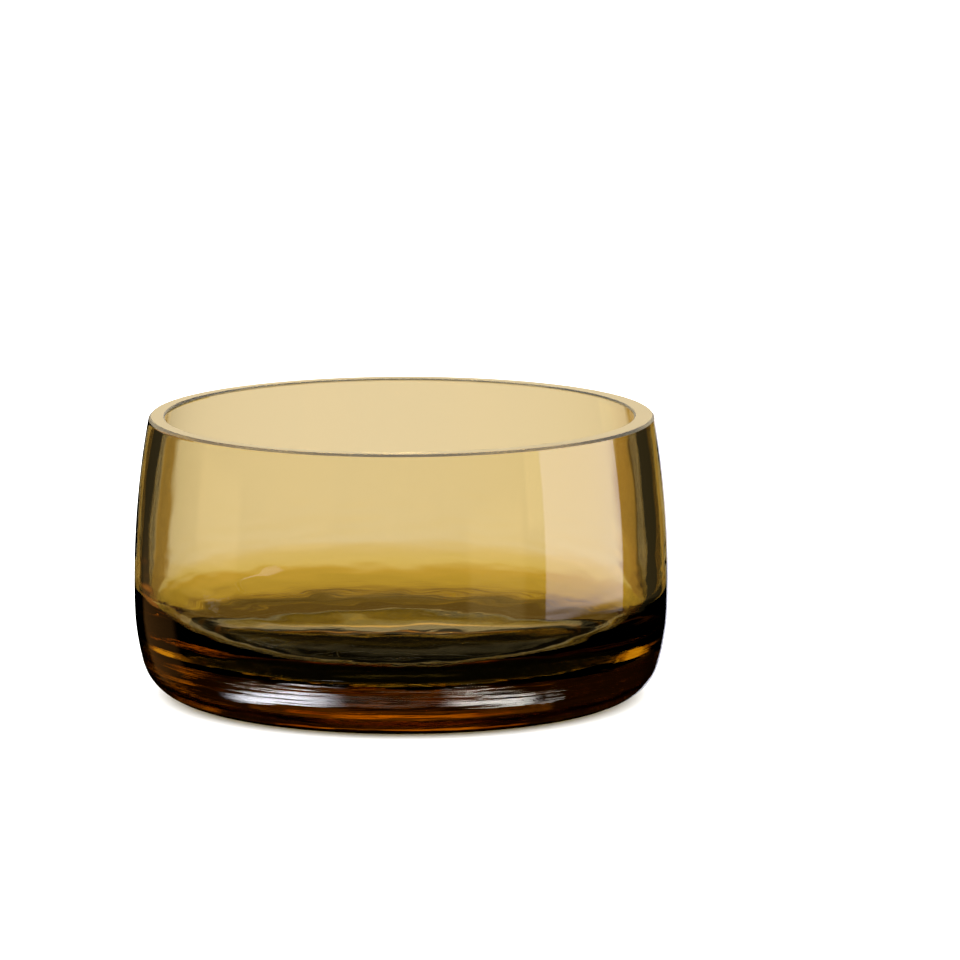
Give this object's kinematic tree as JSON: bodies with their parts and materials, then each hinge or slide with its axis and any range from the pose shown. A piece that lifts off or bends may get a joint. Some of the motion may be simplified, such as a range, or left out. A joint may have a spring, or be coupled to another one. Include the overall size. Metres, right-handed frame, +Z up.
{
  "type": "bowl",
  "caption": "Round open bowl blown in one thick piece of clear amber glass, with a heavy base, a rounded belly and a flat ground rim.",
  "frame": {"origin": "on the bowl's axis, in the plane of the foot ring that it stands on", "axes": "+Z up along the bowl's axis, out of its mouth; the bowl is round, so X and Y are any two level directions"},
  "size_m": [0.18, 0.18, 0.095],
  "materials": {
    "amber_glass": "clear amber soda-lime glass, fire-polished inside and out, with the rim ground flat and polished and its two bevels left satin"
  },
  "bodies": {
    "root": {"bowl": "amber_glass"}
  },
  "joints": []
}
